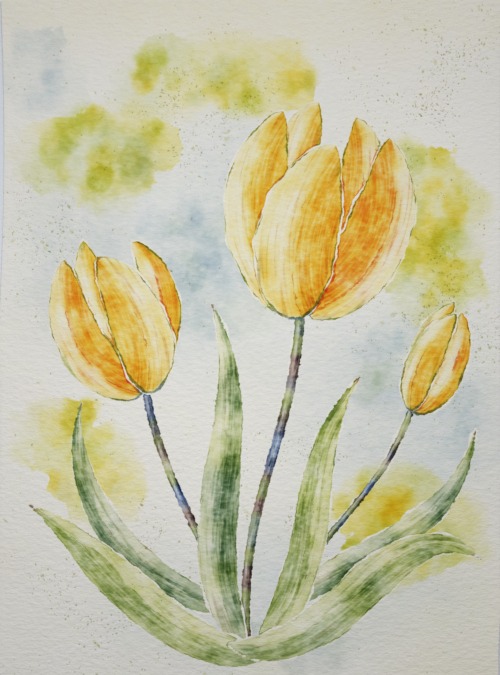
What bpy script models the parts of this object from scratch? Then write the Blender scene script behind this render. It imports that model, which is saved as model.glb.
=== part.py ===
"""A sheet of cold-pressed watercolour paper, a quarter of an imperial sheet, as it lies on a table.

The sheet lies face up: +Z comes out of the painted face, +Y runs to the picture's top and +X to its right.
The origin is on the table under the middle of the sheet. Units are metres.

The middle of the sheet is flat and carries its weight. Towards its edges it rises a little, as a sheet
does that was painted wet and has dried: each edge has its own gentle wave, and the corners stand highest.
Two of its edges were cut by hand and aren't quite straight.
"""

import math

import bmesh
import bpy

MM = 0.001

# The sheet
SHEET_WIDTH = 279.4 * MM
SHEET_HEIGHT = 381.0 * MM
SHEET_THICKNESS = 0.6 * MM

# How far each edge stands off the table, at equal steps along it, on top of what its corners share
LIFT_LEFT = [2.7 * MM, 1.3 * MM, 0.4 * MM, 0.9 * MM, 0.4 * MM, 0.7 * MM, 0.8 * MM]  # from the bottom up
LIFT_RIGHT = [1.5 * MM, 0.5 * MM, 1.2 * MM, 0.4 * MM, 0.9 * MM, 0.5 * MM, 1.8 * MM]  # from the bottom up
LIFT_TOP = [0.4 * MM, 0.5 * MM, 0.8 * MM, 0.3 * MM, 0.8 * MM]  # from the left
LIFT_BOTTOM = [0.9 * MM, 0.4 * MM, 0.9 * MM, 0.3 * MM, 0.7 * MM]  # from the left

# Where the rise starts, as a share of the way from the middle to the edge
RISE_START_ACROSS = 0.42
RISE_START_ALONG = 0.55

# The left edge runs inside the straight line over its upper part, in an arch that ends past the corner
LEFT_BOW = 2.45 * MM
LEFT_BOW_FROM = 0.07
LEFT_BOW_TO = 1.10

# The right edge steps in a little near its lower end, between these shares of the way down from the middle
RIGHT_STEP = 1.3 * MM
RIGHT_STEP_FROM = 0.77
RIGHT_STEP_TO = 0.93

# Both fade out over this share of the way from the edge to the middle
BOW_FADES_OVER = 0.35

# Facets of about 10 mm, far finer than the bends
CELLS_ACROSS = 28
CELLS_ALONG = 38

PAPER_COLOUR = (0.68, 0.67, 0.60, 1.0)
PAPER_ROUGHNESS = 0.92


def clear_scene():
    for obj in list(bpy.data.objects):
        bpy.data.objects.remove(obj)


def ease(t):
    """A step from 0 to 1 with level ends."""
    t = min(max(t, 0.0), 1.0)
    return t * t * (3.0 - 2.0 * t)


def lift_at(lifts, place):
    """The lift at a place from -1 to 1 along an edge, eased from each value to the next."""
    step = (place + 1.0) / 2.0 * (len(lifts) - 1)
    index = min(int(step), len(lifts) - 2)
    share = ease(step - index)
    return lifts[index] * (1.0 - share) + lifts[index + 1] * share


def rise(place, start):
    """How a free edge bends up: flat to the start, then like a strip of card lifted by its end."""
    t = max(0.0, (place - start) / (1.0 - start))
    return t * t * (3.0 - t) / 2.0


def height_of_back(across, along):
    """Height of the back of the sheet over the table, at places from -1 to 1."""
    return (
        lift_at(LIFT_LEFT, along) * rise(-across, RISE_START_ACROSS)
        + lift_at(LIFT_RIGHT, along) * rise(across, RISE_START_ACROSS)
        + lift_at(LIFT_TOP, across) * rise(along, RISE_START_ALONG)
        + lift_at(LIFT_BOTTOM, across) * rise(-along, RISE_START_ALONG)
    )


def near_edge(towards_edge):
    """1 on an edge, eased to 0 where the edge's bow has faded out."""
    return ease((towards_edge - 1.0 + BOW_FADES_OVER) / BOW_FADES_OVER)


def bow_of_left_edge(across, along):
    """How far a point moves in, to the right, because the left edge isn't straight."""
    share = min(max((along - LEFT_BOW_FROM) / (LEFT_BOW_TO - LEFT_BOW_FROM), 0.0), 1.0)
    return LEFT_BOW * math.sin(math.pi * share) * near_edge(-across)


def step_of_right_edge(across, along):
    """How far a point moves in, to the left, because the right edge isn't straight."""
    share = (-along - RIGHT_STEP_FROM) / (RIGHT_STEP_TO - RIGHT_STEP_FROM)
    return RIGHT_STEP * ease(share) * near_edge(across)


def make_paper():
    material = bpy.data.materials.new("watercolour_paper")
    material.use_nodes = True
    shader = material.node_tree.nodes["Principled BSDF"]
    shader.inputs["Base Color"].default_value = PAPER_COLOUR
    shader.inputs["Roughness"].default_value = PAPER_ROUGHNESS
    shader.inputs["Metallic"].default_value = 0.0
    return material


def make_sheet(collection):
    """The back of the sheet as a bent grid, thickened upwards."""
    mesh = bpy.data.meshes.new("paper_sheet")
    form = bmesh.new()
    bmesh.ops.create_grid(form, x_segments=CELLS_ACROSS, y_segments=CELLS_ALONG, size=1.0)
    for vertex in form.verts:
        across, along = vertex.co.x, vertex.co.y
        inwards = bow_of_left_edge(across, along) - step_of_right_edge(across, along)
        vertex.co.x = across * SHEET_WIDTH / 2.0 + inwards
        vertex.co.y = along * SHEET_HEIGHT / 2.0
        vertex.co.z = height_of_back(across, along)
    form.to_mesh(mesh)
    form.free()

    sheet = bpy.data.objects.new("paper_sheet", mesh)
    collection.objects.link(sheet)
    mesh.materials.append(make_paper())
    thicken = sheet.modifiers.new("thickness", "SOLIDIFY")
    thicken.thickness = SHEET_THICKNESS
    thicken.offset = 1.0
    thicken.use_even_offset = True
    mesh.shade_smooth()
    mesh.set_sharp_from_angle(angle=0.5)
    return sheet


def main():
    clear_scene()
    collection = bpy.data.collections.new("watercolour_painting")
    bpy.context.scene.collection.children.link(collection)
    make_sheet(collection)


main()
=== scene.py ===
"""Looks of a watercolour painting on a loose sheet of cold-pressed paper.

One closed mesh stands for the sheet. Its paint is worked out here: each petal, leaf, stem and wash is a
shape with a signed distance to its edge, in millimetres, and a pigment, as what the paint takes out of the
light. These are stored at the mesh's points, and the material draws sharp edges, rims, brush streaks and
grain from them.
"""

import math

import bpy
import numpy as np
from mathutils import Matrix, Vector


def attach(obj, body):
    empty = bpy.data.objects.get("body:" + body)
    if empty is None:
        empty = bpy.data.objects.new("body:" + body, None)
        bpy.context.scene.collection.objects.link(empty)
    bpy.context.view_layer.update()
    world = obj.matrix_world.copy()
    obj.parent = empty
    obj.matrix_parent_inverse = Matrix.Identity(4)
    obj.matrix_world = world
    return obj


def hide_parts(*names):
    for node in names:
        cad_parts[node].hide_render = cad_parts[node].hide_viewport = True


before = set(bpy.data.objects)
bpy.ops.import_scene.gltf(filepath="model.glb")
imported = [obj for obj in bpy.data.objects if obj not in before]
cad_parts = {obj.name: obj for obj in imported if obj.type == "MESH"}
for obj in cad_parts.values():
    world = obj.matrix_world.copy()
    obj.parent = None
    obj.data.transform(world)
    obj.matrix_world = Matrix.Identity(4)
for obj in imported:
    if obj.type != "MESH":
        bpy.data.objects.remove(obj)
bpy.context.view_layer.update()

MM = 0.001

# The sheet, as in the CAD model
SHEET_WIDTH = 279.4 * MM
SHEET_HEIGHT = 381.0 * MM
SHEET_THICKNESS = 0.6 * MM
LIFT_LEFT = [2.7 * MM, 1.3 * MM, 0.4 * MM, 0.9 * MM, 0.4 * MM, 0.7 * MM, 0.8 * MM]
LIFT_RIGHT = [1.5 * MM, 0.5 * MM, 1.2 * MM, 0.4 * MM, 0.9 * MM, 0.5 * MM, 1.8 * MM]
LIFT_TOP = [0.4 * MM, 0.5 * MM, 0.8 * MM, 0.3 * MM, 0.8 * MM]
LIFT_BOTTOM = [0.9 * MM, 0.4 * MM, 0.9 * MM, 0.3 * MM, 0.7 * MM]
RISE_START_ACROSS = 0.42
RISE_START_ALONG = 0.55
LEFT_BOW = 2.45 * MM
LEFT_BOW_FROM = 0.07
LEFT_BOW_TO = 1.10
RIGHT_STEP = 1.3 * MM
RIGHT_STEP_FROM = 0.77
RIGHT_STEP_TO = 0.93
BOW_FADES_OVER = 0.35

# The mesh
CELLS_ACROSS = 258
CELLS_ALONG = 354
BACK_STEP = 6  # the back has one cell for so many of the front's, each way
RIM_BEVEL = 0.10 * MM
TOOTH_RELIEF = 0.035 * MM
COCKLE_RELIEF = 0.10 * MM
RELIEF_SEED = 7

FAR = 8.0  # how far outside a shape its distance is kept, in millimetres

# Pigments at full strength, as the share of red, green and blue that the paper still gives back
PIGMENTS = {
    "lemon": (0.97, 0.86, 0.28),
    "gold": (0.97, 0.60, 0.07),
    "orange": (0.93, 0.42, 0.10),
    "salmon": (0.97, 0.60, 0.42),
    "red": (0.80, 0.22, 0.12),
    "yellow_green": (0.76, 0.78, 0.20),
    "olive": (0.52, 0.52, 0.16),
    "leaf": (0.47, 0.61, 0.27),
    "blue_green": (0.35, 0.48, 0.43),
    "grey_blue": (0.62, 0.70, 0.76),
    "pale_blue": (0.82, 0.88, 0.92),
    "deep_blue": (0.08, 0.16, 0.42),
    "brown": (0.38, 0.24, 0.20),
    "sepia": (0.22, 0.19, 0.18),
}
PIGMENT = {name: -np.log(np.array(kept)) for name, kept in PIGMENTS.items()}


# Noise and small functions

class Noise:
    """Smooth seeded noise over the plane, about -1 to 1."""

    TABLE = 64
    GAIN = 1.5  # brings the highest values up to about 1
    OCTAVE_SHIFT = 17.3

    def __init__(self, seed):
        angles = np.random.default_rng(seed).uniform(0.0, 2.0 * math.pi, (self.TABLE, self.TABLE))
        self.slopes = np.stack([np.cos(angles), np.sin(angles)], axis=-1)

    def plain(self, x, y, size):
        x, y = x / size, y / size
        column, row = np.floor(x).astype(int), np.floor(y).astype(int)
        u, v = x - column, y - row

        def corner(right, up):
            slope = self.slopes[(row + up) % self.TABLE, (column + right) % self.TABLE]
            return slope[..., 0] * (u - right) + slope[..., 1] * (v - up)

        fade_u = u * u * u * (u * (u * 6.0 - 15.0) + 10.0)
        fade_v = v * v * v * (v * (v * 6.0 - 15.0) + 10.0)
        low = corner(0, 0) * (1.0 - fade_u) + corner(1, 0) * fade_u
        high = corner(0, 1) * (1.0 - fade_u) + corner(1, 1) * fade_u
        return self.GAIN * (low * (1.0 - fade_v) + high * fade_v)

    def rough(self, x, y, size, octaves, finer_weight=0.5):
        """Noise with finer noise added, each octave half as large as the last and weaker."""
        total, weight, sum_of_weights = 0.0, 1.0, 0.0
        for octave in range(octaves):
            shift = self.OCTAVE_SHIFT * octave
            total = total + weight * self.plain(x + shift, y - shift, size / 2 ** octave)
            sum_of_weights += weight
            weight *= finer_weight
        return total / sum_of_weights

    def line(self, s, lane, size, octaves):
        """Noise along a line. Each lane has its own."""
        return self.rough(s, np.full_like(s, lane), size, octaves)


def ease(t):
    """A step from 0 to 1 with level ends."""
    t = np.clip(t, 0.0, 1.0)
    return t * t * (3.0 - 2.0 * t)


def ramp(low, high, value):
    """0 at low and 1 at high, eased between."""
    return ease((value - low) / (high - low))


def bump_at(value, place, width):
    """1 at the place, falling off to both sides over the width."""
    return np.exp(-((value - place) / width) ** 2)


def stacked(*values):
    """Arrays and numbers side by side in a new last axis."""
    return np.stack(np.broadcast_arrays(*values), axis=-1)


# The sheet's form, as in the CAD model

def lift_at(lifts, place):
    """The lift at places from -1 to 1 along an edge, eased from each value to the next."""
    lifts = np.array(lifts)
    step = (place + 1.0) / 2.0 * (len(lifts) - 1)
    index = np.minimum(step.astype(int), len(lifts) - 2)
    share = ease(step - index)
    return lifts[index] * (1.0 - share) + lifts[index + 1] * share


def rise(place, start):
    """How a free edge bends up: flat to the start, then like a strip of card lifted by its end."""
    t = np.maximum(0.0, (place - start) / (1.0 - start))
    return t * t * (3.0 - t) / 2.0


def height_of_back(across, along):
    """Height of the back of the sheet over the table, at places from -1 to 1."""
    return (
        lift_at(LIFT_LEFT, along) * rise(-across, RISE_START_ACROSS)
        + lift_at(LIFT_RIGHT, along) * rise(across, RISE_START_ACROSS)
        + lift_at(LIFT_TOP, across) * rise(along, RISE_START_ALONG)
        + lift_at(LIFT_BOTTOM, across) * rise(-along, RISE_START_ALONG)
    )


def near_edge(towards_edge):
    """1 on an edge, eased to 0 where the edge's bow has faded out."""
    return ease((towards_edge - 1.0 + BOW_FADES_OVER) / BOW_FADES_OVER)


def bow_of_left_edge(across, along):
    """How far a point moves in, to the right, because the left edge isn't straight."""
    share = np.clip((along - LEFT_BOW_FROM) / (LEFT_BOW_TO - LEFT_BOW_FROM), 0.0, 1.0)
    return LEFT_BOW * np.sin(math.pi * share) * near_edge(-across)


def step_of_right_edge(across, along):
    """How far a point moves in, to the left, because the right edge isn't straight."""
    share = (-along - RIGHT_STEP_FROM) / (RIGHT_STEP_TO - RIGHT_STEP_FROM)
    return RIGHT_STEP * ease(share) * near_edge(across)


def sheet_points(across, along):
    """Points of the back of the sheet, for grids of places from -1 to 1."""
    x = across * SHEET_WIDTH / 2.0 + bow_of_left_edge(across, along) - step_of_right_edge(across, along)
    y = along * SHEET_HEIGHT / 2.0
    return x, y, height_of_back(across, along)


ACROSS, ALONG = np.meshgrid(
    np.linspace(-1.0, 1.0, CELLS_ACROSS + 1), np.linspace(-1.0, 1.0, CELLS_ALONG + 1)
)
SHEET_X, SHEET_Y, SHEET_Z = sheet_points(ACROSS, ALONG)
X, Y = SHEET_X / MM, SHEET_Y / MM  # where paint goes, in millimetres
SHAPE = X.shape


# Shapes of the painting

def curve_through(controls, places):
    """Points of the Bezier curve with these control points."""
    controls = np.array(controls)
    degree = len(controls) - 1
    points = 0.0
    for index, control in enumerate(controls):
        weight = math.comb(degree, index) * places ** index * (1.0 - places) ** (degree - index)
        points = points + weight[:, None] * control
    return points


def distance_to_outline(x, y, outline):
    """Signed distance to a closed outline, positive inside."""
    nearest = np.full(x.shape, np.inf)
    inside = np.zeros(x.shape, bool)
    for (ax, ay), (bx, by) in zip(outline, np.roll(outline, -1, axis=0)):
        run, climb = bx - ax, by - ay
        length = run * run + climb * climb
        if length < 1e-12:
            continue
        share = np.clip(((x - ax) * run + (y - ay) * climb) / length, 0.0, 1.0)
        nearest = np.minimum(nearest, (x - ax - share * run) ** 2 + (y - ay - share * climb) ** 2)
        if ay != by:
            crosses = (ay > y) != (by > y)
            inside ^= crosses & (x < ax + (y - ay) / climb * run)
    return np.where(inside, 1.0, -1.0) * np.sqrt(nearest)


class Blade:
    """A petal, leaf or stem: a spine from base to tip and a half-width on each side of it, in millimetres.

    root and tip say how the width comes and goes: 0 is cut off square, 0.5 is round and 1 is pointed.
    """

    SAMPLES = 44
    RIPPLES = 5.0  # uneven places of an edge from base to tip
    LEFT_LANE = 1.7
    RIGHT_LANE = 9.2
    LEAST_HALF_WIDTH = 0.8
    FARTHEST_SIDE = 1.4  # as a share of the half-width

    def __init__(self, spine, left, right, seed, root=0.5, tip=0.66, wave=0.12):
        places = np.linspace(0.0, 1.0, self.SAMPLES)
        self.spine = curve_through(spine, places)
        steps = np.hypot(*np.diff(self.spine, axis=0).T)
        self.length = steps.sum()
        self.along = np.concatenate([[0.0], np.cumsum(steps)])
        slope = np.gradient(self.spine, axis=0)
        slope /= np.hypot(*slope.T)[:, None]
        normal = stacked(-slope[:, 1], slope[:, 0])
        share = np.minimum(self.along / self.length, 1.0)
        profile = share ** root * (1.0 - share) ** tip
        profile /= profile.max()
        noise = Noise(seed)

        def uneven(lane):
            return 1.0 + wave * noise.line(share * self.RIPPLES, lane, 1.0, 2)

        self.left = left * profile * uneven(self.LEFT_LANE)
        self.right = right * profile * uneven(self.RIGHT_LANE)
        outline = np.concatenate(
            [self.spine + normal * self.left[:, None], (self.spine - normal * self.right[:, None])[::-1]]
        )
        low, high = outline.min(axis=0) - FAR, outline.max(axis=0) + FAR
        self.near = (X > low[0]) & (X < high[0]) & (Y > low[1]) & (Y < high[1])
        self.x, self.y = X[self.near], Y[self.near]
        self.inside = np.maximum(distance_to_outline(self.x, self.y, outline), -FAR)
        self.find_place()

    def find_place(self):
        """Along the spine (mm and share), across it (mm, positive to the left) and across as a share."""
        nearest = np.full(self.x.shape, np.inf)
        self.s = np.zeros(self.x.shape)
        self.t = np.zeros(self.x.shape)
        for start, end, reached in zip(self.spine, self.spine[1:], self.along):
            run = end - start
            length = np.hypot(*run)
            share = ((self.x - start[0]) * run[0] + (self.y - start[1]) * run[1]) / length ** 2
            share = np.clip(share, 0.0, 1.0)
            dx, dy = self.x - start[0] - share * run[0], self.y - start[1] - share * run[1]
            distance = np.hypot(dx, dy)
            closer = distance < nearest
            nearest = np.where(closer, distance, nearest)
            side = np.sign(run[0] * dy - run[1] * dx)
            self.s = np.where(closer, reached + share * length, self.s)
            self.t = np.where(closer, side * distance, self.t)
        self.share = self.s / self.length
        half = np.where(
            self.t > 0.0,
            np.interp(self.s, self.along, self.left),
            np.interp(self.s, self.along, self.right),
        )
        self.half = np.maximum(half, self.LEAST_HALF_WIDTH)
        self.side = np.clip(self.t / self.half, -self.FARTHEST_SIDE, self.FARTHEST_SIDE)


class Group:
    """Shapes at about one depth of the picture. The first ones put in lie before the later ones."""

    GAP = 0.9  # paper left bare between a shape and one behind it, in millimetres
    STROKE_SHIFT = 170.0  # from where one shape takes its strokes to where the next does, in millimetres

    def __init__(self, name):
        self.name = name
        self.inside = np.full(SHAPE, -FAR)
        self.place = np.zeros(SHAPE + (2,))
        triples = ("wash", "glaze", "glaze_shape", "lines", "line_pigment")
        self.paint = {triple: np.zeros(SHAPE + (3,)) for triple in triples}
        self.paint["hatch"] = np.zeros(SHAPE)
        self.shift = 0.0

    def put(self, blade, paint):
        """Lays a painted shape in, behind those of the group that are there."""
        self.shift += self.STROKE_SHIFT
        before = self.inside[blade.near]
        inside = np.minimum(blade.inside, -before - self.GAP)
        nearer = inside > before
        index = tuple(axis[nearer] for axis in np.nonzero(blade.near))
        self.inside[index] = inside[nearer]
        self.place[index] = stacked(blade.s + self.shift, blade.t)[nearer]
        for name, values in self.paint.items():
            values[index] = paint[name][nearer]


def mixed(parts):
    """The sum of pigments, each times its strength at every point. A strength below 0 counts as none."""
    return sum(np.maximum(strength, 0.0)[..., None] * PIGMENT[name] for name, strength in parts.items())


def paint_petal(blade, seed, lit=1.0, pale=0.35, depth=1.0, blush=0.0, lean=0.0):
    """Pale yellow with gold run into it, a second gold glaze on the shaded side, green and red drawn lines.

    lit is +1 where the light side is the left one and -1 where it is the right one. pale is where the
    light streak lies, as a share of the half-width. A blush is salmon, with red strokes fanned out from
    the crease.
    """
    noise = Noise(seed)
    x, y, s, side = blade.x, blade.y, blade.share, blade.side
    cloud = noise.rough(x, y, 20.0, 3)
    fine = noise.rough(x, y, 7.0, 3)
    warm = noise.rough(x + 50.0, y, 15.0, 2)
    shaded = -lit * side
    shade = ramp(-0.7, 0.9, shaded + 0.55 * cloud)
    base = ramp(0.40, 0.0, s + 0.08 * fine)
    tip = ramp(0.76, 1.0, s + 0.08 * fine)
    light = bump_at(shaded, -pale, 0.30 + 0.08 * cloud)
    light = light * ramp(0.05, 0.32, s) * ramp(1.05, 0.7, s)
    border = ramp(3.4, 1.0, blade.inside) * ramp(0.5, -0.2, shaded)
    light = np.clip(light * (0.85 + 0.5 * fine) + 0.75 * border, 0.0, 1.0)
    gold = 0.08 + 0.50 * shade + 0.42 * base + 0.22 * tip + 0.50 * cloud
    wash = mixed({
        "lemon": np.maximum(0.10, (0.54 + 0.36 * shade + 0.35 * cloud) * (1.0 - 0.72 * light)),
        "gold": depth * gold * (1.0 - 0.92 * light),
        "salmon": blush * (0.30 + 0.9 * warm) * (0.35 + 0.65 * shade),
    })

    edge = lean + 0.30 * noise.line(s * 60.0, 3.0, 18.0, 3)
    glaze_inside = np.minimum((shaded - edge) * blade.half, 2.0 * (blade.inside - 1.5 - 1.5 * fine))
    softness = 1.2 + 5.5 * np.maximum(0.0, 0.4 + noise.plain(x, y, 26.0))
    strength = depth * (0.50 + 0.45 * base + 0.65 * cloud + 0.30 * fine)
    glaze = mixed({
        "gold": 0.72 * strength,
        "orange": 0.12 * strength * (0.7 + base),
        "salmon": blush * (0.45 + 0.9 * warm),
        "olive": 0.25 * ramp(0.2, 0.0, s),
    })

    broken = noise.rough(s * blade.length, side * 2.0, 13.0, 3)
    dark_edge = ramp(-0.3, 0.3, shaded)
    outline = 0.06 + 0.30 * dark_edge + 1.15 * broken + 0.50 * base
    crease = 0.06 + 0.55 * blush + 0.9 * noise.line(s * blade.length, 5.0, 17.0, 2)
    crease = crease - 1.3 * ramp(0.6, 0.9, s)
    dry = 0.30 * noise.plain(x, y, 24.0) - 0.05
    at_edge = ramp(3.6, 1.6, blade.inside)
    blue = at_edge * ramp(0.13, 0.03, s + 0.05 * fine)
    bare = 1.0 - at_edge
    green = at_edge - blue
    brown = green * ramp(0.05, 0.35, fine + 0.5 * warm)
    redness = min(1.0, 2.0 * blush)
    return {
        "wash": wash,
        "glaze": glaze,
        "glaze_shape": stacked(glaze_inside, softness, 16.0),
        "lines": stacked(outline, crease, dry),
        "line_pigment": mixed({
            "deep_blue": 0.8 * blue,
            "red": 0.80 * bare * (0.3 + 0.7 * redness) + 0.35 * brown,
            "orange": 0.30 * bare,
            "olive": 0.95 * green + 0.50 * bare * (1.0 - redness),
            "leaf": 1.25 * (green - 0.7 * brown),
        }),
        "hatch": blush * ramp(9.0, 1.0, np.abs(blade.t)) * ramp(-0.1, 0.25, warm + 0.2 * fine),
    }


def paint_leaf(blade, seed, dark_side=1.0, blue=0.4, strength=1.0, yellow=0.3, brown=1.0):
    """A pale leaf with long strokes of several greens laid over it, darker on one side, and a brown tip."""
    noise = Noise(seed)
    x, y, s, side = blade.x, blade.y, blade.share, blade.side
    cloud = noise.rough(x, y, 30.0, 3)
    fine = noise.rough(x, y, 9.0, 3)
    turn = noise.line(s * blade.length, 0.0, 34.0, 2)
    dark = ramp(-0.15, 0.15, dark_side * side + 0.35 * turn)
    tip = brown * ramp(0.955, 1.0, s + 0.012 * fine)
    foot = ramp(0.4, 0.0, s)
    bluish = np.clip(blue * (0.45 + 0.55 * dark + 1.3 * cloud) + 0.25 * foot, 0.0, 1.3)
    yellowish = yellow * (1.3 - 0.5 * dark) + 0.9 * turn + 0.35 * ramp(0.3, 1.0, s)
    yellowish = np.clip(yellowish, 0.0, 1.2)
    wet = strength * (0.54 + 0.25 * dark + 0.45 * fine + 0.50 * cloud) * (1.0 - 0.6 * tip)
    wash = mixed({
        "lemon": 0.22 * wet,
        "leaf": wet * (0.16 + 0.22 * dark),
        "yellow_green": 0.62 * wet * yellowish,
        "blue_green": 0.50 * wet * bluish,
        "brown": 0.75 * tip,
    })

    edge = -0.10 + 0.55 * turn
    glaze_inside = np.minimum((dark_side * side - edge) * blade.half, 2.0 * (blade.inside - 0.7 - fine))
    glaze_inside = np.minimum(glaze_inside, (0.95 - s) * blade.length)
    softness = 0.6 + 3.0 * np.maximum(0.0, 0.2 + noise.plain(x, y, 34.0))
    deep = strength * (0.62 + 0.75 * cloud + 0.30 * fine)
    glaze = mixed({
        "blue_green": deep * (0.22 + 0.68 * bluish),
        "leaf": deep * (0.30 + 0.30 * yellowish) * (1.0 - 0.6 * np.minimum(bluish, 1.0)),
        "yellow_green": 0.45 * deep * yellowish,
    })

    outline = 0.02 + 0.95 * noise.rough(s * blade.length, side * 3.0, 18.0, 3)
    crease = 0.06 + 0.7 * noise.line(s * blade.length, 5.0, 24.0, 2)
    dry = np.maximum(0.0, 0.05 + 0.6 * noise.plain(x, y, 40.0)) + 0.35 * ramp(0.75, 1.0, s)
    at_edge = ramp(3.0, 1.2, blade.inside)
    rust = ramp(0.0, 0.3, noise.plain(x + 30.0, y, 26.0))
    return {
        "wash": wash,
        "glaze": glaze,
        "glaze_shape": stacked(glaze_inside, softness, 34.0),
        "lines": stacked(outline, crease, dry),
        "line_pigment": mixed({
            "blue_green": 0.95 * (1.0 - rust),
            "olive": 0.50 * (1.0 - tip),
            "brown": 0.60 * rust * (1.0 - 0.3 * at_edge) + 0.7 * tip,
        }),
        "hatch": np.zeros_like(s),
    }


def paint_stem(blade, seed):
    """A wet stroke of olive, brown and blue that run into each other, with a light core and a dark side."""
    noise = Noise(seed)
    s, side = blade.share, blade.side
    first = noise.line(s * blade.length, 0.0, 26.0, 2)
    second = noise.line(s * blade.length, 40.0, 19.0, 2)
    third = noise.line(s * blade.length, 80.0, 13.0, 2)
    blue = ramp(0.0, 0.35, first)
    brown = ramp(-0.1, 0.3, second) * (1.0 - 0.7 * blue)
    olive = np.clip(1.0 - blue - brown, 0.0, 1.0)
    core = bump_at(side, 0.25, 0.45) * ramp(-0.3, 0.2, third)
    wet = (0.85 + 0.8 * third) * (1.0 - 0.85 * core) * ramp(-0.02, 0.03, s)
    return {
        "wash": mixed({
            "olive": 0.75 * wet * olive,
            "leaf": 0.6 * wet * olive,
            "deep_blue": 0.60 * wet * blue,
            "grey_blue": 0.35 * wet + 0.3 * core,
            "brown": 1.05 * wet * brown,
        }),
        "glaze": mixed({
            "sepia": 0.55 * wet * (0.4 + brown),
            "deep_blue": 0.55 * wet * (blue + 0.3),
            "brown": 0.5 * wet * brown,
        }),
        "glaze_shape": stacked((0.15 - side + 0.5 * third) * blade.half, 0.5, 5.0),
        "lines": stacked(0.5 * third + 0.12, -1.0, 0.16 + 0.5 * np.maximum(0.0, second)),
        "line_pigment": mixed({"sepia": np.full_like(s, 0.55), "deep_blue": 0.35 * (0.4 + blue)}),
        "hatch": np.zeros_like(s),
    }


class Bloom:
    """A place and size for a flower's petals, which are given along its axis and across it as shares."""

    def __init__(self, base, lean_degrees, height, width):
        angle = math.radians(lean_degrees)
        self.base = np.array(base)
        self.up = np.array([math.cos(angle), math.sin(angle)]) * height
        self.out = np.array([math.sin(angle), -math.cos(angle)]) * width / 2.0
        self.width = width

    def petal(self, points, left, right, seed):
        spine = [self.base + self.out * across + self.up * up for across, up in points]
        return Blade(spine, left * self.width / 2.0, right * self.width / 2.0, seed)


LARGE = Bloom(base=(28, 12), lean_degrees=80, height=116, width=98)
SMALL = Bloom(base=(-58, -30), lean_degrees=112, height=88, width=66)
BUD = Bloom(base=(90, -40), lean_degrees=66, height=62, width=34)

# Depth, bloom, spine from base to tip, half-widths, seed, paint
PETALS = [
    ("front", LARGE, [(0.03, 0), (-0.40, 0.26), (-0.20, 0.66), (0.06, 0.85)], 0.44, 0.50, 11,
     dict(seed=101, pale=0.30, depth=0.95, blush=0.12, lean=0.1)),
    ("middle", LARGE, [(-0.02, 0.02), (-0.74, 0.20), (-1.06, 0.62), (-0.60, 0.97)], 0.30, 0.50, 12,
     dict(seed=102, pale=0.55, depth=0.8, lean=-0.1)),
    ("middle", LARGE, [(0.05, 0.03), (0.74, 0.16), (1.08, 0.58), (0.64, 0.93)], 0.50, 0.28, 13,
     dict(seed=103, lit=-1, pale=0.5, depth=0.9, blush=0.75)),
    ("back", LARGE, [(-0.16, 0.12), (-0.50, 0.50), (-0.42, 0.84), (-0.22, 1.04)], 0.36, 0.34, 14,
     dict(seed=104, pale=0.2, depth=0.75, blush=0.3)),
    ("back", LARGE, [(0.20, 0.12), (0.56, 0.46), (0.48, 0.84), (0.24, 1)], 0.34, 0.34, 15,
     dict(seed=105, lit=-1, pale=0.4, depth=0.9, blush=0.5)),
    ("front", SMALL, [(0, 0), (0.46, 0.22), (0.42, 0.62), (0.10, 0.92)], 0.50, 0.48, 21,
     dict(seed=201, lit=-1, depth=0.85, blush=0.2)),
    ("middle", SMALL, [(-0.05, 0.01), (-0.92, 0.20), (-0.98, 0.62), (-0.44, 0.98)], 0.34, 0.50, 22,
     dict(seed=202, pale=0.3, depth=0.95, blush=0.5)),
    ("back", SMALL, [(0.05, 0.10), (0.90, 0.30), (1.06, 0.70), (0.74, 0.93)], 0.38, 0.30, 23,
     dict(seed=203, pale=0.25, depth=0.9, blush=0.6)),
    ("back", SMALL, [(-0.08, 0.2), (-0.30, 0.54), (-0.16, 0.84), (-0.02, 1.05)], 0.34, 0.30, 24,
     dict(seed=204, pale=0.3, depth=0.6, blush=0.1)),
    ("front", BUD, [(0, 0), (-0.60, 0.28), (-0.46, 0.70), (0.06, 0.97)], 0.44, 0.66, 31,
     dict(seed=301, pale=0.4, depth=0.75, blush=0.1)),
    ("middle", BUD, [(0.08, 0), (0.98, 0.24), (0.80, 0.74), (0.20, 1)], 0.66, 0.40, 32,
     dict(seed=302, pale=0.2, blush=0.5)),
    ("back", BUD, [(-0.3, 0.3), (-0.70, 0.55), (-0.36, 0.86), (-0.16, 1.06)], 0.42, 0.40, 33,
     dict(seed=303, pale=0.3, depth=0.8, blush=0.2)),
]

# Depth, spine from base to tip, half-widths, how pointed the base is, seed, paint
LEAVES = [
    ("front", [(-12, -170), (52, -184), (78, -84), (129, -122)], 10.5, 13.5, 0.75, 41,
     dict(seed=401, dark_side=-1, blue=0.45, yellow=0.35)),
    ("front", [(12, -176), (-50, -178), (-84, -112), (-124, -92)], 12.5, 11.5, 0.70, 42,
     dict(seed=402, blue=0.35, yellow=0.5, strength=0.9)),
    ("middle", [(-3, -174), (-42, -108), (8, -50), (-22, 22)], 10.5, 11, 0.52, 43,
     dict(seed=403, dark_side=-1, blue=1.1, strength=1.05, yellow=0.1)),
    ("middle", [(3, -174), (50, -120), (20, -72), (62, -20)], 9.5, 10.5, 0.52, 44,
     dict(seed=404, yellow=0.55)),
    ("back", [(-10, -152), (-84, -132), (-104, -70), (-94, -34)], 8, 9.5, 0.52, 48,
     dict(seed=405, blue=1.4, yellow=0, brown=0.6)),
    ("back", [(12, -150), (66, -118), (116, -104), (126, -50)], 8, 9, 0.52, 49,
     dict(seed=406, dark_side=-1, blue=1.4, strength=1.1, yellow=0, brown=0.8)),
]

# Spine from foot to flower, half-width, seeds of the shape and of its paint
STEMS = [
    ([(-1, -176), (-10, -96), (24, -60), (28, 13)], 2.5, 45, 411),
    ([(-6, -172), (-18, -116), (-48, -86), (-58, -29)], 2.2, 46, 412),
    ([(5, -172), (24, -116), (72, -94), (90, -39)], 1.9, 47, 413),
]


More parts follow.
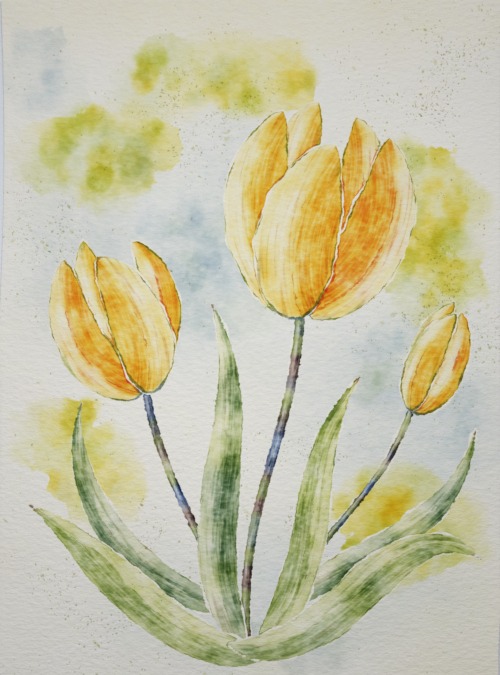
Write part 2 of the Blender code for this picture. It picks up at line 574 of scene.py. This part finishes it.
def make_groups():
    groups = {name: Group(name) for name in ("front", "middle", "back")}
    for depth, bloom, points, left, right, seed, paint in PETALS:
        blade = bloom.petal(points, left, right, seed)
        groups[depth].put(blade, paint_petal(blade, **paint))
    for depth, spine, left, right, root, seed, paint in LEAVES:
        blade = Blade(spine, left, right, seed, root=root, tip=0.95, wave=0.16)
        groups[depth].put(blade, paint_leaf(blade, **paint))
    for spine, half_width, seed, paint_seed in STEMS:
        blade = Blade(spine, half_width, half_width, seed, root=0.0, tip=0.0, wave=0.22)
        groups["back"].put(blade, paint_stem(blade, paint_seed))
    return groups.values()


# Centre, reach each way, number of dabs, seed, how hard the edges dried, colours with their strengths
CLOUDS = [
    ((-80, 106), (34, 26), 20, 501, 0,
     (("lemon", 0.95), ("yellow_green", 0.8), ("lemon", 0.7), ("leaf", 0.35))),
    ((100, 62), (18, 48), 17, 502, -0.1,
     (("lemon", 1), ("yellow_green", 0.75), ("lemon", 1.4), ("leaf", 0.3))),
    ((-16, 146), (56, 15), 16, 503, -0.1,
     (("yellow_green", 0.8), ("lemon", 0.9), ("leaf", 0.25), ("lemon", 0.6))),
    ((78, -104), (36, 28), 19, 504, 0,
     (("lemon", 1), ("yellow_green", 0.8), ("lemon", 1.5), ("leaf", 0.25))),
    ((-92, -64), (24, 28), 14, 505, -0.05,
     (("yellow_green", 0.7), ("lemon", 1.1), ("olive", 0.22), ("lemon", 0.8))),
    ((-26, 40), (30, 44), 11, 506, -0.05, (("pale_blue", 1), ("leaf", 0.14), ("pale_blue", 1.4))),
    ((76, -10), (26, 18), 7, 507, 0, (("pale_blue", 1.2), ("leaf", 0.14), ("grey_blue", 0.4))),
    ((8, -172), (44, 7), 8, 508, -0.2,
     (("yellow_green", 0.08), ("grey_blue", 0.5), ("pale_blue", 0.6))),
    ((-114, 148), (9, 22), 6, 509, 0.15,
     (("pale_blue", 0.9), ("grey_blue", 0.25), ("pale_blue", 0.6))),
    ((122, -44), (8, 26), 6, 510, 0.15,
     (("pale_blue", 0.9), ("grey_blue", 0.2), ("pale_blue", 0.7))),
]

# Pigment, strength, centre, reach each way and seed of the paint that ran out with no edge at all
VEILS = [
    ("pale_blue", 1, (-20, 60), (84, 74), 511),
    ("pale_blue", 0.9, (84, -40), (60, 62), 512),
    ("grey_blue", 0.28, (-100, 40), (34, 50), 513),
    ("pale_blue", 0.8, (20, -140), (96, 36), 514),
    ("yellow_green", 0.55, (-92, 122), (12, 9), 515),
    ("yellow_green", 0.7, (104, 52), (10, 12), 516),
    ("yellow_green", 0.5, (74, -104), (12, 8), 517),
    ("olive", 0.3, (-60, 100), (9, 12), 518),
    ("lemon", 0.35, (-64, 124), (14, 10), 519),
    ("lemon", 0.09, (0, 186), (190, 26), 520),
    ("lemon", 0.07, (126, -176), (60, 60), 521),
]

# Centre and reach of the places where spatters fell
SPATTER_PLACES = [
    ((-70, -134), 40),
    ((112, 16), 40),
    ((-30, 128), 36),
    ((20, -90), 34),
    ((-112, 54), 30),
    ((96, 142), 40),
]
SPATTER_SEED = 530


class Clouds:
    """Pale wet paint laid in as dabs that run together, with stronger colour dropped into it."""

    RUNS_OVER = 4.5  # over how many millimetres two dabs mix
    DEEPEST = 30.0  # how far inside a cloud its distance is kept

    def __init__(self):
        self.inside = np.full(SHAPE, -FAR)
        self.softness = np.full(SHAPE, 1.0)
        self.pigment = np.zeros(SHAPE + (3,))
        for cloud in CLOUDS:
            self.add(*cloud)

    def add(self, centre, reach, dabs, seed, hard, tones):
        random, noise = np.random.default_rng(seed), Noise(seed)

        def spot():
            turn, out = random.uniform(0.0, 2.0 * math.pi), math.sqrt(random.uniform(0.0, 1.0))
            return centre[0] + reach[0] * out * math.cos(turn), centre[1] + reach[1] * out * math.sin(turn)

        ragged = 8.0 * noise.rough(X, Y, 19.0, 4, 0.6)
        inside, weights, pigment = np.full(SHAPE, -np.inf), 1e-9, np.zeros(SHAPE + (3,))
        for dab in range(dabs):
            x, y = spot()
            radius, stretch = random.uniform(6.0, 16.0), random.uniform(1.0, 1.5)
            distance = radius - np.hypot((X - x) / stretch, Y - y) + ragged
            name, strength = tones[dab % len(tones)]
            weight = np.exp(np.clip(distance / self.RUNS_OVER, -20.0, 20.0))
            pigment += weight[..., None] * PIGMENT[name] * strength * random.uniform(0.4, 0.9)
            weights = weights + weight
            inside = np.maximum(inside, distance)
        pigment /= weights[..., None]
        inside = 0.5 * (inside + self.RUNS_OVER * np.log(weights) - 1.5)

        for drop in range(dabs):
            x, y = spot()
            radius, blur = random.uniform(3.0, 9.0), random.uniform(1.2, 4.5)
            stretch = random.uniform(0.8, 1.6)
            distance = np.hypot(X - x, (Y - y) / stretch) - 0.6 * ragged
            name, strength = tones[drop % len(tones)]
            amount = strength * random.uniform(0.4, 1.0) * ramp(radius + blur, radius - blur, distance)
            pigment += PIGMENT[name] * amount[..., None]
        pigment *= np.maximum(0.85 + 0.75 * noise.rough(X + 40.0, Y, 20.0, 4, 0.6), 0.25)[..., None]
        softness = np.clip(0.6 + 14.0 * (noise.plain(X, Y, 30.0) + 0.34 - hard), 0.6, 10.0)
        nearer = inside > self.inside
        self.inside = np.where(nearer, np.minimum(inside, self.DEEPEST), self.inside)
        self.softness = np.where(nearer, softness, self.softness)
        self.pigment = np.where(nearer[..., None], pigment, self.pigment)


def make_veils():
    total = np.zeros(SHAPE + (3,))
    for name, strength, (x, y), (across, up), seed in VEILS:
        uneven = 0.45 * Noise(seed).rough(X, Y, 1.2 * min(across, up), 3)
        out = np.hypot((X - x) / across, (Y - y) / up) + uneven
        total += PIGMENT[name] * (strength * np.exp(-1.3 * np.maximum(out, 0.0) ** 2.4))[..., None]
    return total


def spatter_weight():
    """How thick the spatters lie, from 0 to 1.5."""
    weight = np.full(SHAPE, 0.08)
    for (x, y), reach in SPATTER_PLACES:
        weight = np.maximum(weight, np.exp(-((X - x) ** 2 + (Y - y) ** 2) / reach ** 2))
    return weight * np.clip(0.45 + 2.6 * Noise(SPATTER_SEED).rough(X, Y, 24.0, 3), 0.0, 1.5)


# The mesh

def front_heights():
    """The painted face: the sheet's thickness, a little cockle where it was wet, and the coarser tooth."""
    noise = Noise(RELIEF_SEED)
    margin = np.minimum(1.0 - np.abs(ACROSS), 1.0 - np.abs(ALONG))
    cockle = COCKLE_RELIEF * noise.rough(X, Y, 52.0, 2) * ramp(0.0, 0.15, margin)
    tooth = TOOTH_RELIEF * noise.rough(X, 1.3 * Y, 5.0, 2)
    heights = SHEET_Z + SHEET_THICKNESS + cockle + tooth * ramp(0.0, 0.02, margin) - TOOTH_RELIEF
    return np.where(margin < 1e-9, SHEET_Z + SHEET_THICKNESS - RIM_BEVEL, heights)


def grid_numbers(columns, rows):
    return np.arange((columns + 1) * (rows + 1)).reshape(rows + 1, columns + 1)


def edge_loop(columns, rows):
    """Indices of the outer ring of a grid, counter-clockwise from its lower left corner."""
    grid = grid_numbers(columns, rows)
    return np.concatenate([grid[0, :-1], grid[:-1, -1], grid[-1, :0:-1], grid[:0:-1, 0]])


def grid_faces(columns, rows):
    grid = grid_numbers(columns, rows)
    corners = [grid[:-1, :-1], grid[:-1, 1:], grid[1:, 1:], grid[1:, :-1]]
    return np.stack([corner.ravel() for corner in corners], axis=1)


def nearest_inner(cell, steps):
    """The back grid's point, along a side, that a point of the edge is joined to."""
    return min(max(round(cell / BACK_STEP - 1), 0), steps)


def make_sheet_mesh():
    """Front grid, a rim down to the back's edge, and a coarser back grid joined to it by a fringe."""
    front = stacked(SHEET_X, SHEET_Y, front_heights()).reshape(-1, 3)
    ring = edge_loop(CELLS_ACROSS, CELLS_ALONG)
    around = len(ring)
    back_edge = stacked(SHEET_X, SHEET_Y, SHEET_Z).reshape(-1, 3)[ring]

    # The back grid leaves out its own outer ring, where the fringe goes
    columns, rows = CELLS_ACROSS // BACK_STEP, CELLS_ALONG // BACK_STEP
    across, along = np.meshgrid(
        np.linspace(-1.0, 1.0, columns + 1)[1:-1], np.linspace(-1.0, 1.0, rows + 1)[1:-1]
    )
    back = stacked(*sheet_points(across, along)).reshape(-1, 3)
    columns, rows = columns - 2, rows - 2

    first_edge, first_back = len(front), len(front) + around
    faces = grid_faces(CELLS_ACROSS, CELLS_ALONG).tolist()
    for index in range(around):
        after = (index + 1) % around
        faces.append([ring[after], ring[index], first_edge + index, first_edge + after])
    faces.extend((first_back + grid_faces(columns, rows)[:, ::-1]).tolist())

    inner = edge_loop(columns, rows)
    outer_start = inner_start = 0
    for cells, steps in ((CELLS_ACROSS, columns), (CELLS_ALONG, rows)) * 2:
        for cell in range(cells):
            outer_a = first_edge + outer_start + cell
            outer_b = first_edge + (outer_start + cell + 1) % around
            here, there = nearest_inner(cell, steps), nearest_inner(cell + 1, steps)
            inner_a = first_back + inner[(inner_start + here) % len(inner)]
            inner_b = first_back + inner[(inner_start + there) % len(inner)]
            faces.append([outer_b, outer_a, inner_a])
            if here != there:
                faces.append([outer_b, inner_a, inner_b])
        outer_start += cells
        inner_start += steps

    mesh = bpy.data.meshes.new("watercolour_sheet")
    points = np.concatenate([front, back_edge, back])
    mesh.from_pydata(points.tolist(), [], [[int(corner) for corner in face] for face in faces])
    mesh.validate()
    mesh.update()
    return mesh


def store(mesh, name, values):
    """Keeps values at the front's points as a named attribute. The rim and the back get nothing."""
    width = 1 if values.ndim == 2 else 3
    flat = np.zeros((len(mesh.vertices), width), np.float32)
    flat[: SHAPE[0] * SHAPE[1]] = values.reshape(-1, width)
    attribute = mesh.attributes.new(name, "FLOAT" if width == 1 else "FLOAT_VECTOR", "POINT")
    attribute.data.foreach_set("value" if width == 1 else "vector", flat.ravel())


def store_painting(mesh):
    for group in make_groups():
        store(mesh, f"{group.name}_place", np.concatenate([group.inside[..., None], group.place], axis=-1))
        for name, values in group.paint.items():
            store(mesh, f"{group.name}_{name}", values)
    clouds = Clouds()
    store(mesh, "clouds_shape", stacked(clouds.inside, clouds.softness, 0.0))
    store(mesh, "clouds_pigment", clouds.pigment)
    store(mesh, "veils", make_veils())
    store(mesh, "spatter", spatter_weight())


# Materials

class Value:
    """A number that a material's nodes work out. Sums and products of it make the nodes that they need."""

    def __init__(self, nodes, socket):
        self.nodes = nodes
        self.socket = socket

    def __add__(self, other):
        return self.nodes.maths("ADD", self, other)

    def __radd__(self, other):
        return self + other

    def __sub__(self, other):
        return self.nodes.maths("SUBTRACT", self, other)

    def __rsub__(self, other):
        return self.nodes.maths("SUBTRACT", other, self)

    def __mul__(self, other):
        return self.nodes.maths("MULTIPLY", self, other)

    def __truediv__(self, other):
        return self.nodes.maths("DIVIDE", self, other)

    def __abs__(self):
        return self.nodes.maths("ABSOLUTE", self)


class Triple(Value):
    """Three such numbers: a place, or what is taken out of red, green and blue."""

    def __add__(self, other):
        return self.nodes.vector("ADD", self, other)

    def __sub__(self, other):
        return self.nodes.vector("SUBTRACT", self, other)

    def __mul__(self, other):
        if isinstance(other, tuple):
            return self.nodes.vector("MULTIPLY", self, other)
        return self.nodes.scaled(self, other)


class Nodes:
    """The nodes of a new material. An input may be a number, a tuple, a Value or a Triple."""

    def __init__(self, name):
        self.material = bpy.data.materials.new(name)
        self.material.use_nodes = True
        self.tree = self.material.node_tree
        self.shader = self.tree.nodes["Principled BSDF"]

    def feed(self, socket, value):
        if isinstance(value, Value):
            self.tree.links.new(value.socket, socket)
        else:
            socket.default_value = value

    def make(self, kind, inputs, **settings):
        """The outputs of a new node, whose inputs are given by name or number."""
        node = self.tree.nodes.new(kind)
        for name, value in settings.items():
            setattr(node, name, value)
        for key, value in inputs.items():
            self.feed(node.inputs[key], value)
        return node.outputs

    def maths(self, operation, *values):
        return Value(self, self.make("ShaderNodeMath", dict(enumerate(values)), operation=operation)[0])

    def vector(self, operation, *values):
        outputs = self.make("ShaderNodeVectorMath", dict(enumerate(values)), operation=operation)
        return Triple(self, outputs[0])

    def scaled(self, triple, factor):
        outputs = self.make("ShaderNodeVectorMath", {0: triple, "Scale": factor}, operation="SCALE")
        return Triple(self, outputs[0])

    def larger(self, one, other):
        return self.maths("MAXIMUM", one, other)

    def smaller(self, one, other):
        return self.maths("MINIMUM", one, other)

    def exponential(self, value):
        return self.maths("EXPONENT", value)

    def ridge(self, value, sharpness):
        """1 where the value is 0, falling off on both sides."""
        return self.exponential(abs(value) * -sharpness)

    def smooth(self, value, low, high):
        """0 below low and 1 above high, eased between."""
        inputs = {"Value": value, "From Min": low, "From Max": high}
        return Value(self, self.make("ShaderNodeMapRange", inputs, interpolation_type="SMOOTHSTEP")[0])

    def stored_number(self, name):
        return Value(self, self.make("ShaderNodeAttribute", {}, attribute_name=name)["Fac"])

    def stored_triple(self, name):
        return Triple(self, self.make("ShaderNodeAttribute", {}, attribute_name=name)["Vector"])

    def split(self, triple):
        return [Value(self, output) for output in self.make("ShaderNodeSeparateXYZ", {0: triple})]

    def join(self, *values):
        return Triple(self, self.make("ShaderNodeCombineXYZ", dict(enumerate(values)))[0])

    def noise(self, place, scale, detail=2.0, roughness=0.5):
        """Noise from 0 to 1."""
        inputs = {"Vector": place, "Scale": scale, "Detail": detail, "Roughness": roughness}
        return Value(self, self.make("ShaderNodeTexNoise", inputs)["Fac"])

    def place_in_mm(self):
        return Triple(self, self.make("ShaderNodeTexCoord", {})["Object"]) * (1.0 / MM)


PAPER_COLOUR = (0.83, 0.815, 0.775)
PAINTED_RELIEF = 0.50 * MM
BARE_RELIEF = 0.32 * MM
TOOTH_PER_MM = (0.26, 0.45, 0.45)
FIBRES_PER_MM = (0.72, 1.4, 1.4)
UNCUT = 1000.0  # a distance to a cut that is nowhere near, in millimetres

# Noise drawn out along a shape: how much of it goes on a millimetre along and across, its lane, its detail
BRISTLES = (0.09, 0.80, 0.0, 3.0)
FIRST_STROKES = (0.028, 0.19, 13.0, 2.0)
SECOND_STROKES = (0.036, 0.27, 31.0, 2.0)
SLITS = (0.014, 0.20, 57.0, 1.0)
VEINS = (0.010, 0.21, 83.0, 1.0)
PATCHES = (0.055, 0.13, 7.0, 3.0)
STROKE_ROUGHNESS = 0.58
STROKE_SLANT = 1.3  # how far a stroke runs along for each millimetre across

# The same for the strokes that fan out from a crease, and the angle between the two
FAN_PER_MM = (0.11, 0.62)
FAN_LANE = 40.0  # on one side of the crease, and -40 on the other
FAN_DETAIL = 2.0
FAN_COSINE = 0.80
FAN_SINE = 0.60

SPATTER_SLANT = math.radians(32.0)  # dashes fall by this to the right
SPATTER_STRETCH = (0.38, 1.0, 1.0)  # and are as much longer than wide
# Dots or dashes, their spacing and largest radius in mm, the share of places hit, their blur and pigments
SPATTERS = [
    ("dots", 7.5, 1.60, 0.40, 0.9, {"olive": 0.22}),
    ("dots", 3.6, 0.75, 0.50, 0.3, {"olive": 0.45, "sepia": 0.06}),
    ("dots", 2.1, 0.50, 0.60, 0.3, {"olive": 0.25, "sepia": 0.24}),
    ("dots", 1.4, 0.40, 0.55, 0.3, {"olive": 0.30, "sepia": 0.14}),
    ("dashes", 3.3, 0.42, 0.40, 0.3, {"olive": 0.35, "sepia": 0.18}),
]


def tooth_of(nodes, place):
    """The paper's tooth, 0 in the valleys to 1 on the hills: lumps of 1 to 2 mm, a little longer across."""
    lumps = nodes.noise(place * TOOTH_PER_MM, 1.0, 1.5)
    fibres = nodes.noise(place * FIBRES_PER_MM, 1.0, 1.0)
    return lumps * 0.72 + fibres * 0.28


def brushwork(nodes, group, tooth, wobble, cut):
    """What one group of shapes takes out of the light, and its distance once those in front are cut out."""

    def stored(name):
        return nodes.stored_triple(f"{group}_{name}")

    def strokes(along, across, kind):
        """Noise drawn out along the shapes, about -0.3 to 0.3."""
        per_mm_along, per_mm_across, lane, detail = kind
        place = nodes.join(along * per_mm_along, across * per_mm_across, lane)
        return nodes.noise(place, 1.0, detail, STROKE_ROUGHNESS) - 0.5

    inside, along, across = nodes.split(stored("place"))
    outline_width, crease_width, dry = nodes.split(stored("lines"))
    grain = 0.5 - tooth
    slanted = across * STROKE_SLANT + along
    bristles = strokes(along, across, BRISTLES)
    first_strokes = strokes(slanted, across, FIRST_STROKES)
    second_strokes = strokes(slanted, across, SECOND_STROKES)
    slit = nodes.ridge(strokes(along, across, SLITS), 28.0)
    patch_level = strokes(along, across, PATCHES)
    patch = nodes.smooth(patch_level, -0.012, 0.02)

    # Where the shapes end: ragged where the brush was dry, and soft where the paper was wet
    dry_edge = tooth * 6.0 - 3.1 + bristles * 5.0
    edge = nodes.smaller(inside + wobble, cut) - nodes.larger(dry, 0.0) * dry_edge
    wetness = nodes.larger(dry * -1.0, 0.0)
    cover = nodes.smooth(edge / (1.0 + wetness * 9.0), -0.16, 0.22)

    rims = nodes.ridge(edge - 0.25, 2.2) * 0.24 + nodes.ridge(patch_level, 70.0) * 0.10
    streaks = bristles * 0.55 + first_strokes * 0.9 - slit * 0.25
    strength = 0.90 + rims + streaks + grain * 1.1 + patch * 0.14
    wash = stored("wash") * (cover * strength)

    # Two coats of glaze, each with its own ragged edge
    glaze_inside, softness, reach = nodes.split(stored("glaze_shape"))
    ragged = glaze_inside + first_strokes * reach + bristles * 5.0 + grain * 2.5
    first_cover = nodes.smooth(ragged / softness, -0.5, 0.7)
    ragged = glaze_inside - 1.0 + second_strokes * reach * 1.3 + bristles * 4.0 + grain * 2.0
    second_cover = nodes.smooth(ragged / softness, -0.25, 0.45)
    first_coat = 0.60 + bristles * 1.5 + second_strokes * 1.3 + grain * 1.7 + patch * 0.22
    second_coat = 0.36 + bristles * 1.4 + grain * 1.5
    coats = nodes.larger(first_coat, 0.0) * first_cover + nodes.larger(second_coat, 0.0) * second_cover
    glaze = stored("glaze") * (coats * cover * (1.0 - slit * 0.7))

    # Drawn lines: the outline, the crease, strokes fanned out from it to both sides, and veins
    hatch = nodes.stored_number(f"{group}_hatch")
    off = abs(across)
    along_fan, across_fan = along * FAN_COSINE + off * FAN_SINE, off * FAN_COSINE - along * FAN_SINE
    lane = nodes.maths("SIGN", across) * FAN_LANE
    fan = strokes(along_fan, across_fan, (*FAN_PER_MM, lane, FAN_DETAIL))
    fan = nodes.smooth(fan + hatch * 0.20, 0.17, 0.34)
    vein = nodes.ridge(strokes(along, across, VEINS), 34.0) * nodes.smooth(first_strokes, -0.04, 0.06)
    outline = nodes.smooth(outline_width - abs(edge - 0.45), -0.12, 0.22)
    crease = nodes.smooth(crease_width - abs(across + wobble * 1.5), -0.12, 0.22)
    line = nodes.larger(nodes.larger(outline, crease * 0.8), nodes.larger(fan * hatch * 0.42, vein * 0.40))
    line = line * nodes.smooth(edge, -0.3, 0.0) * (0.75 + grain * 2.5)
    lines = stored("line_pigment") * nodes.larger(line, 0.0)
    return wash + glaze + lines, edge


def background_paint(nodes, place, tooth, wobble, cut):
    """The clouds with their edges, and the veils that have none, up to the shapes in front of them."""
    away = nodes.smooth(cut, -0.25, 0.3)
    grain = 0.5 - tooth
    mottle = nodes.noise(place, 0.11, 4.0, 0.62) - 0.5
    lap = nodes.smooth(nodes.noise(place, 0.055, 3.0) - 0.5, -0.012, 0.02)

    inside, softness, _ = nodes.split(nodes.stored_triple("clouds_shape"))
    edge = inside + wobble * 1.6
    cover = nodes.smooth(edge / softness, -0.8, 0.8)
    rim = nodes.ridge(edge, 1.5) / softness * 0.14
    strength = 0.90 + rim + grain * 1.3 + mottle * 0.9 + lap * 0.14
    clouds = nodes.stored_triple("clouds_pigment") * (cover * away * strength)
    strength = 0.92 + grain * 1.2 + mottle * 1.1 + lap * 0.16
    return clouds + nodes.stored_triple("veils") * (away * strength)


def spatter_paint(nodes, place, tooth, cut):
    """Dots and slanted dashes thrown from a loaded brush. Few lie on the shapes, painted later."""
    amount = nodes.stored_number("spatter") * (nodes.smooth(cut, -0.5, 0.5) * 0.8 + 0.2)
    swirl = nodes.make("ShaderNodeTexNoise", {"Vector": place, "Scale": 0.035})["Color"]
    thrown = place + (Triple(nodes, swirl) - (0.5, 0.5, 0.5)) * 16.0
    inputs = {"Vector": thrown, "Angle": SPATTER_SLANT}
    slanted = Triple(nodes, nodes.make("ShaderNodeVectorRotate", inputs, rotation_type="Z_AXIS")[0])
    fields = {"dots": thrown, "dashes": slanted * SPATTER_STRETCH}
    total = (0.0, 0.0, 0.0)
    for kind, spacing, largest, share, blur, pigments in SPATTERS:
        inputs = {"Vector": fields[kind], "Scale": 1.0 / spacing}
        cells = nodes.make("ShaderNodeTexVoronoi", inputs, voronoi_dimensions="2D")
        distance = Value(nodes, cells["Distance"]) * spacing
        _, _, draw = nodes.split(Triple(nodes, cells["Color"]))
        chance = nodes.smooth(amount * share - draw, 0.0, 0.02)
        second_draw = nodes.maths("FRACT", draw * 57.3)
        radius = (second_draw * 0.7 + 0.3) * largest
        dot = nodes.smooth(radius + (0.5 - tooth) * 0.9 - distance, -0.3 * blur, blur)
        tone = sum(PIGMENT[name] * strength for name, strength in pigments.items())
        total = nodes.scaled(tuple(tone), dot * chance) + total
    return total


def finish_paper(nodes, taken, tooth, relief):
    """The shader of paper with this paint on it, as what is taken out of red, green and blue."""
    left = [nodes.exponential(channel * -1.0) for channel in nodes.split(taken)]
    nodes.feed(nodes.shader.inputs["Base Color"], nodes.join(*left) * PAPER_COLOUR)
    nodes.feed(nodes.shader.inputs["Roughness"], tooth * 0.14 + 0.80)
    nodes.shader.inputs["Specular IOR Level"].default_value = 0.25
    bump = nodes.make("ShaderNodeBump", {"Strength": 1.0, "Distance": relief, "Height": tooth})
    nodes.tree.links.new(bump[0], nodes.shader.inputs["Normal"])


def painted_paper():
    nodes = Nodes("painted_paper")
    place = nodes.place_in_mm()
    tooth = tooth_of(nodes, place)
    wobble = (nodes.noise(place, 0.33) - 0.5) * 1.7 + (nodes.noise(place, 1.3, 1.0) - 0.5) * 0.55
    gap = nodes.larger(nodes.noise(place, 0.07, 1.0) * 5.0 - 1.9, 0.05)

    total, taken, cut = (0.0, 0.0, 0.0), -UNCUT, UNCUT
    for group in ("front", "middle", "back"):
        paint, edge = brushwork(nodes, group, tooth, wobble, cut)
        total = paint + total
        taken = nodes.larger(taken, edge)
        cut = taken * -1.0 - gap
    cut = cut + 0.25
    total = total + background_paint(nodes, place, tooth, wobble, cut)
    total = total + spatter_paint(nodes, place, tooth, cut)

    stain = nodes.noise(place, 0.02, 3.0) - 0.5
    tint = nodes.noise(place, 0.09) - 0.5
    total = total + nodes.scaled((0.05, 0.07, 0.13), stain) + nodes.scaled((-0.015, 0.02, -0.06), tint)
    finish_paper(nodes, total, tooth, PAINTED_RELIEF)
    return nodes.material


def bare_paper():
    """The back and the rim: plain paper with a fainter mark of the felt, faint stains, and painted shade
    that darkens the tooth's hollows.
    """
    nodes = Nodes("bare_paper")
    place = nodes.place_in_mm()
    tooth = tooth_of(nodes, place)
    stain = nodes.noise(place, 0.03, 3.0) - 0.5
    # Random stains, and painted shade: the tooth's hollows are made a little darker and warmer.
    taken = nodes.scaled((0.8, 1.0, 1.5), stain * 0.06 + (0.5 - tooth) * 0.04)
    finish_paper(nodes, taken, tooth, BARE_RELIEF)
    return nodes.material


# The piece

# Parts of the unwrapped square: how far all of them run along it, and the strip that each takes across it
ALONG_SQUARE = (0.002, 0.998)
PAINTED_STRIP = (0.002, 0.733)
BACK_STRIP = (0.745, 0.985)
RIM_STRIP = (0.989, 0.998)


def within(strip, share):
    return strip[0] + (strip[1] - strip[0]) * share


def values_of(items, name, kind, width=1):
    values = np.zeros(len(items) * width, kind)
    items.foreach_get(name, values)
    return values


def rim_position(corners):
    """Each rim point's place along the ring."""
    front_count = SHAPE[0] * SHAPE[1]
    ring = edge_loop(CELLS_ACROSS, CELLS_ALONG)
    place = np.zeros(front_count + len(ring), int)
    place[ring] = np.arange(len(ring))
    place[front_count:] = np.arange(len(ring))
    return place[np.minimum(corners, len(place) - 1)]


def unwrap(mesh):
    """The painted face on its side over most of the square, the back and the rim in narrower strips."""
    points = values_of(mesh.vertices, "co", np.float32, 3).reshape(-1, 3)
    corners = values_of(mesh.loops, "vertex_index", np.int32)
    counts = values_of(mesh.polygons, "loop_total", np.int32)
    face_of = np.repeat(np.arange(len(mesh.polygons)), counts)
    front_faces = CELLS_ACROSS * CELLS_ALONG
    rim_faces = 2 * (CELLS_ACROSS + CELLS_ALONG)
    painted = face_of < front_faces
    rim = ~painted & (face_of < front_faces + rim_faces)
    out = points[corners, 0] / SHEET_WIDTH + 0.5
    up = points[corners, 1] / SHEET_HEIGHT + 0.5

    position = rim_position(corners)
    last_rim_face = face_of == front_faces + rim_faces - 1
    around = np.where(last_rim_face & (position == 0), rim_faces, position) / rim_faces
    on_front = corners < SHAPE[0] * SHAPE[1]
    u = within(ALONG_SQUARE, np.where(rim, around, up))
    v = np.where(painted, within(PAINTED_STRIP, 1.0 - out), within(BACK_STRIP, out))
    v = np.where(rim, within(RIM_STRIP, on_front), v)
    layer = mesh.uv_layers.new(name="OFBake")
    layer.data.foreach_set("uv", stacked(u, v).astype(np.float32).ravel())


def make_sheet():
    mesh = make_sheet_mesh()
    sheet = bpy.data.objects.new("watercolour_sheet", mesh)
    bpy.context.scene.collection.objects.link(sheet)
    mesh.materials.append(painted_paper())
    mesh.materials.append(bare_paper())
    slots = np.ones(len(mesh.polygons), np.int32)
    slots[: CELLS_ACROSS * CELLS_ALONG] = 0
    mesh.polygons.foreach_set("material_index", slots)
    mesh.shade_smooth()
    mesh.set_sharp_from_angle(angle=math.radians(40.0))
    unwrap(mesh)
    store_painting(mesh)
    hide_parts("paper_sheet")
    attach(sheet, "root")


# Floor, light and camera

FLOOR_REACH = 3.0
FLOOR_DROP = 0.2 * MM  # below the sheet, so that the two don't touch
FLOOR_COLOUR = (0.74, 0.79, 0.86, 1.0)
ROOM_LIGHT = 0.163
ROOM_COLOUR = (0.93, 0.96, 1.0, 1.0)

PHOTO_WIDTH, PHOTO_HEIGHT = 500, 675
CAMERA_HEIGHT = 0.62
SENSOR = 36.0
FRAME_CENTRE_Y = 1.3 * MM  # above the middle of the sheet


def make_floor():
    mesh = bpy.data.meshes.new("floor")
    corners = [(x * FLOOR_REACH, y * FLOOR_REACH, 0.0) for x, y in ((-1, -1), (1, -1), (1, 1), (-1, 1))]
    mesh.from_pydata(corners, [], [(0, 1, 2, 3)])
    floor = bpy.data.objects.new("floor", mesh)
    bpy.context.scene.collection.objects.link(floor)
    floor.location.z = -FLOOR_DROP
    nodes = Nodes("floor_paint")
    nodes.shader.inputs["Base Color"].default_value = FLOOR_COLOUR
    nodes.shader.inputs["Roughness"].default_value = 0.8
    mesh.materials.append(nodes.material)


def make_area_light(name, place, target, size, power, colour):
    light = bpy.data.lights.new(name, "AREA")
    light.shape = "DISK"
    light.size = size
    light.energy = power
    light.color = colour
    lamp = bpy.data.objects.new(name, light)
    lamp.location = place
    lamp.rotation_mode = "QUATERNION"
    lamp.rotation_quaternion = (Vector(target) - Vector(place)).to_track_quat("-Z", "Y")
    bpy.context.scene.collection.objects.link(lamp)


def make_lights():
    make_area_light(
        "window", place=(0.5, 4.4, 3.6), target=(0.0, 0.0, 0.0),
        size=1.8, power=160.0, colour=(1.0, 0.985, 0.96),
    )
    make_area_light(
        "ceiling", place=(-0.018, 0.015, 0.30), target=(-0.018, 0.015, 0.0),
        size=0.22, power=0.46, colour=(1.0, 0.99, 0.97),
    )
    world = bpy.data.worlds.new("room")
    world.use_nodes = True
    background = world.node_tree.nodes["Background"]
    background.inputs["Color"].default_value = ROOM_COLOUR
    background.inputs["Strength"].default_value = ROOM_LIGHT
    bpy.context.scene.world = world


def make_camera():
    """Straight above the sheet. The frame is as wide as the sheet, and its lower edge is just off it."""
    camera_data = bpy.data.cameras.new("camera")
    seen_height = SHEET_WIDTH * PHOTO_HEIGHT / PHOTO_WIDTH
    camera_data.sensor_width = SENSOR
    camera_data.lens = SENSOR * CAMERA_HEIGHT / seen_height
    camera = bpy.data.objects.new("camera", camera_data)
    camera.location = (0.0, FRAME_CENTRE_Y, CAMERA_HEIGHT + SHEET_THICKNESS)
    bpy.context.scene.collection.objects.link(camera)
    bpy.context.scene.camera = camera


make_sheet()
make_floor()
make_lights()
make_camera()
bpy.context.scene.view_settings.view_transform = "Standard"
